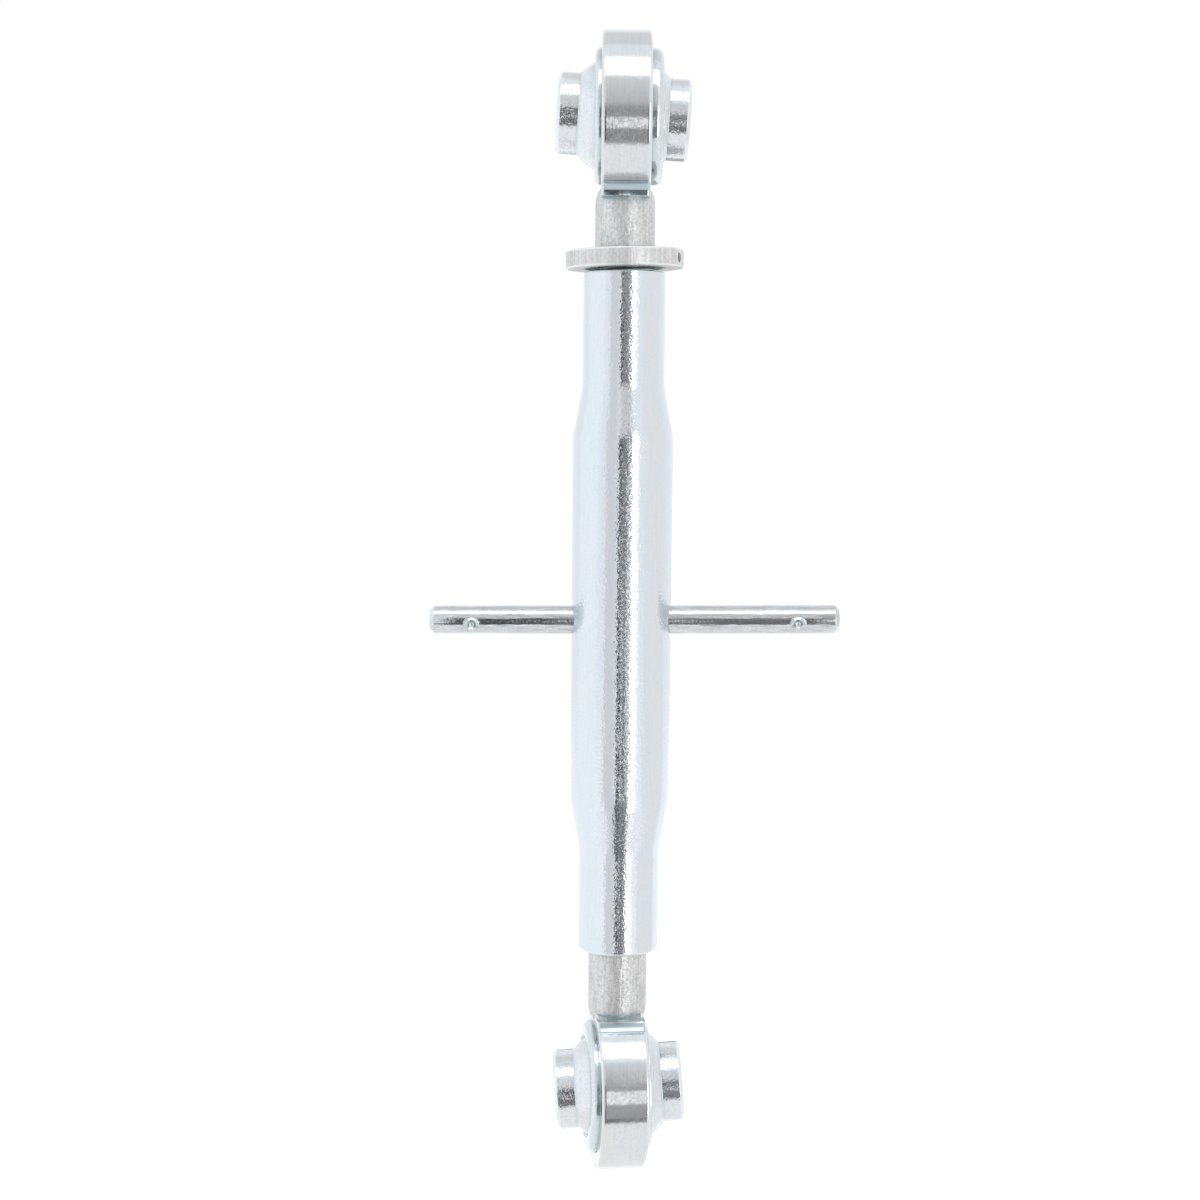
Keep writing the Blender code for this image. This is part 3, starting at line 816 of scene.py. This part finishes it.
def make_end(end, eye, neck_end, shank_length, rod_length, hand, long_side, tilt):
    """One end of the link: eye, threaded shank, race and ball."""
    rod_end = end + "_rod_end"
    make_eye(end + "_eye", eye, neck_end, EYE_FINISH, rod_end)
    make_shank(end + "_shank", eye, shank_length, rod_length, hand, SHANK_FINISH, rod_end)
    make_race(end + "_race", eye, long_side, RACE_FINISH, rod_end, end + "_ball_race")
    make_ball(end + "_swivel", eye, tilt, BALL_FINISH, end + "_ball")


# Studio

IMAGE_SIZE = 1200
FOCAL_PIXELS = 2022.0
SENSOR = 36.0
CAMERA_PLACE = (-6.3 * MM, -685.2 * MM, -101.4 * MM)
CAMERA_PITCH = -5.03
CAMERA_ROLL = 0.55
CAMERA_REACH = 50
FLOOR_Z = -1.6
FLOOR_RADIUS = 9.0
FLOOR_CORNERS = 64
FLOOR_COLOUR = (0.86, 0.86, 0.86, 1)
FLOOR_GLOW = 0.45
WORLD_ON_MATT = 0.75
LINK_MIDDLE = (0, 0, -0.165)


def make_camera():
    """The photograph's camera, fitted to its measured rows and widths."""
    data = bpy.data.cameras.new("camera")
    data.sensor_width = SENSOR
    data.lens = FOCAL_PIXELS * SENSOR / IMAGE_SIZE
    data.clip_end = CAMERA_REACH
    camera = bpy.data.objects.new("camera", data)
    bpy.context.scene.collection.objects.link(camera)
    aim = Matrix.Rotation(pi / 2 + radians(CAMERA_PITCH), 4, "X")
    roll = Matrix.Rotation(radians(CAMERA_ROLL), 4, "Z")
    camera.matrix_world = Matrix.Translation(CAMERA_PLACE) @ aim @ roll
    bpy.context.scene.camera = camera


def seen_by_eye_and_metal(tree):
    """1 for rays from the camera, a mirror or through glass, 0 for light on matt things."""
    path = node(tree, "ShaderNodeLightPath").outputs
    seen = math(tree, "MAXIMUM", path["Is Camera Ray"], path["Is Glossy Ray"])
    return math(tree, "MAXIMUM", seen, path["Is Transmission Ray"])


def make_world():
    """White to the camera; the metal sees it a little cooler."""
    world = bpy.data.worlds.new("studio")
    world.use_nodes = True
    tree = world.node_tree
    extra = math(tree, "MULTIPLY", seen_by_eye_and_metal(tree), 1 - WORLD_ON_MATT)
    strength = math(tree, "ADD", extra, WORLD_ON_MATT)
    camera_ray = node(tree, "ShaderNodeLightPath").outputs["Is Camera Ray"]
    colour = mixed(tree, camera_ray, COOL_WHITE, WHITE)
    background = tree.nodes["Background"]
    tree.links.new(colour, background.inputs["Color"])
    tree.links.new(strength, background.inputs["Strength"])
    bpy.context.scene.world = world


def floor_material():
    """A matt floor that glows only to the camera and to metal, so that it keeps its shadow."""
    material = bpy.data.materials.new("floor_white")
    material.use_nodes = True
    tree = material.node_tree
    tree.nodes.remove(tree.nodes["Principled BSDF"])
    matt = node(tree, "ShaderNodeBsdfDiffuse", {"Color": FLOOR_COLOUR})
    lift = math(tree, "MULTIPLY", seen_by_eye_and_metal(tree), FLOOR_GLOW)
    glow = node(tree, "ShaderNodeEmission", {"Color": (1, 1, 1, 1), "Strength": lift})
    both = node(tree, "ShaderNodeAddShader", {0: matt.outputs[0], 1: glow.outputs[0]})
    tree.links.new(both.outputs[0], tree.nodes["Material Output"].inputs["Surface"])
    return material


def make_floor():
    """A round pale floor far below the link."""
    angles = [2 * pi * i / FLOOR_CORNERS for i in range(FLOOR_CORNERS)]
    points = [(FLOOR_RADIUS * cos(a), FLOOR_RADIUS * sin(a), FLOOR_Z) for a in angles]
    floor = mesh_object("floor", points, [tuple(range(FLOOR_CORNERS))])
    floor.data.materials.append(floor_material())


def card_material(name, strength, soft, colour):
    """A studio card: glows from its low level to its high one and fades out at its edges."""
    material = bpy.data.materials.new(name)
    material.use_nodes = True
    tree = material.node_tree
    tree.nodes.remove(tree.nodes["Principled BSDF"])
    place = node(tree, "ShaderNodeTexCoord").outputs["Generated"]
    axes = node(tree, "ShaderNodeSeparateXYZ", {0: place}).outputs
    cover = 1.0
    for axis, margin in zip("XY", soft):
        if margin:
            near = ranged(tree, axes[axis], 0.0, margin)
            far = ranged(tree, axes[axis], 1.0, 1.0 - margin)
            side = math(tree, "MULTIPLY", near, far)
            cover = math(tree, "MULTIPLY", side, cover)
    glow = node(tree, "ShaderNodeEmission", {"Color": (*colour, 1)})
    if isinstance(strength, tuple):
        tree.links.new(ranged(tree, axes["Y"], *strength), glow.inputs["Strength"])
    else:
        glow.inputs["Strength"].default_value = strength
    clear = node(tree, "ShaderNodeBsdfTransparent")
    made = node(tree, "ShaderNodeMixShader", {0: cover, 1: clear.outputs[0], 2: glow.outputs[0]})
    tree.links.new(made.outputs[0], tree.nodes["Material Output"].inputs["Surface"])
    return material


def make_card(name, place, size, strength, soft, colour):
    """A card that only the metal sees: it shapes the reflections and casts no shadow."""
    x, y = size[0] / 2, size[1] / 2
    corners = [(-x, -y, 0), (x, -y, 0), (x, y, 0), (-x, y, 0)]
    card = mesh_object(name, corners, [(0, 1, 2, 3)])
    card.matrix_world = place
    card.data.materials.append(card_material(name, strength, soft, colour))
    card.visible_camera = False
    card.visible_diffuse = False
    card.visible_shadow = False


def upright(x, y, z):
    """A placement whose plane stands up and faces the link from the front."""
    return Matrix.Translation((x, y, z)) @ Matrix.Rotation(pi / 2, 4, "X")


def level(x, y, z):
    """A placement whose plane lies flat."""
    return Matrix.Translation((x, y, z))


def slanted(x, y, z):
    """A placement that stands up and faces the link's axis from a side."""
    return upright(x, y, z) @ Matrix.Rotation(-atan2(x, -y), 4, "Y")


def make_cards():
    """The reflector cards; a slope is two shares of a card's height and its level at each."""
    top_slope = (0.5, 0.96, 0.48, 0.76)
    low_slope = (0.45, 0.98, 0.46, 0.7)
    for name, place, size, strength, soft, colour in (
        ("card_back", upright(0.18, -1.6, 0.0), (0.9, 3.15), 0.8, (0.03, 0.03), WHITE),
        ("card_dark", upright(0.175, -1.57, -0.6), (0.85, 1.9), 0.21, (0.02, 0.2), WHITE),
        ("card_lens", upright(-0.07, -1.56, -0.55), (0.33, 1.7), 0.09, (0.06, 0.18), WHITE),
        ("card_dark_low", upright(0.05, -1.58, -1.12), (1.1, 0.8), 0.16, (0.1, 0.15), WHITE),
        ("card_top_rim", upright(0.02, -1.55, -0.018), (0.1, 3.135), top_slope, (0.1, 0.02), WHITE),
        ("card_low_rim", upright(0.38, -1.55, 0.15), (0.15, 2.8), low_slope, (0.1, 0.03), WHITE),
        ("card_top_strip", upright(0.02, -1.53, -0.45), (0.11, 0.47), 1.1, (0.1, 0.12), WHITE),
        ("card_low_strip", upright(0.38, -1.53, -0.325), (0.15, 0.54), 1.15, (0.1, 0.1), WHITE),
        ("card_left", slanted(-0.906, -1.509, 0.0), (1.55, 3.1), 0.8, (0.03, 0.1), WHITE),
        ("card_far_left", slanted(-1.76, -0.25, 0.0), (2.4, 3.0), 1.09, (0.15, 0.15), COOL_WHITE),
        ("card_right", slanted(1.55, -0.26, 0.1), (2.3, 3.0), 0.95, (0.1, 0.1), WHITE),
        ("card_under", level(0.0, -0.3, FLOOR_Z + 0.01), (4.4, 4.0), 1.0, (0.2, 0.2), WHITE),
        ("card_behind", upright(0.1, 1.7, -0.65), (0.5, 1.6), 0.5, (0.2, 0.2), WHITE),
        ("card_above", level(0.0, 0.9, 1.3), (2.0, 1.5), 0.82, (0.2, 0.15), WHITE),
    ):
        make_card(name, place, size, strength, soft, colour)


def make_light(name, place, size, radiance):
    """A lamp aimed at the middle of the link, as bright as a card of that radiance."""
    data = bpy.data.lights.new(name, "AREA")
    data.shape = "RECTANGLE"
    data.size, data.size_y = size
    data.energy = radiance * pi * size[0] * size[1]
    light = bpy.data.objects.new(name, data)
    bpy.context.scene.collection.objects.link(light)
    aim = (Vector(LINK_MIDDLE) - Vector(place)).to_track_quat("-Z", "Y")
    light.matrix_world = Matrix.Translation(place) @ aim.to_matrix().to_4x4()


def make_lights():
    """A wide soft lamp above and a narrow one at the right."""
    make_light("light_top", (0, -0.62, 1.15), (1.6, 0.6), 1.45)
    make_light("light_right", (0.527, -1.0, -0.3), (0.22, 1.0), 2.0)


make_camera()
make_world()
make_floor()
make_cards()
make_lights()

BARREL_FINISH = barrel_zinc()
BAR_FINISH = bar_zinc()
NUT_FINISH = nut_zinc()
SHANK_FINISH = shank_zinc()
EYE_FINISH = eye_zinc()
RACE_FINISH = race_zinc()
BALL_FINISH = ball_zinc()

make_barrel(BARREL_FINISH)
make_tommy_bar(BAR_FINISH)
make_lock_nut(NUT_FINISH)
make_end(
    "top", TOP_EYE, TOP_NECK_END, TOP_SHANK_LENGTH,
    rod_length=-TOP_ROD_TIP_Z, hand=1, long_side=TOP_RACE_LONG_SIDE, tilt=TOP_BALL_TILT,
)
make_end(
    "bottom", BOTTOM_EYE, BOTTOM_NECK_END, BOTTOM_SHANK_LENGTH,
    rod_length=BOTTOM_ROD_TIP_Z - BOTTOM_EYE_Z, hand=-1, long_side=BOTTOM_RACE_LONG_SIDE,
    tilt=BOTTOM_BALL_TILT,
)

bpy.context.scene.view_settings.view_transform = "Standard"
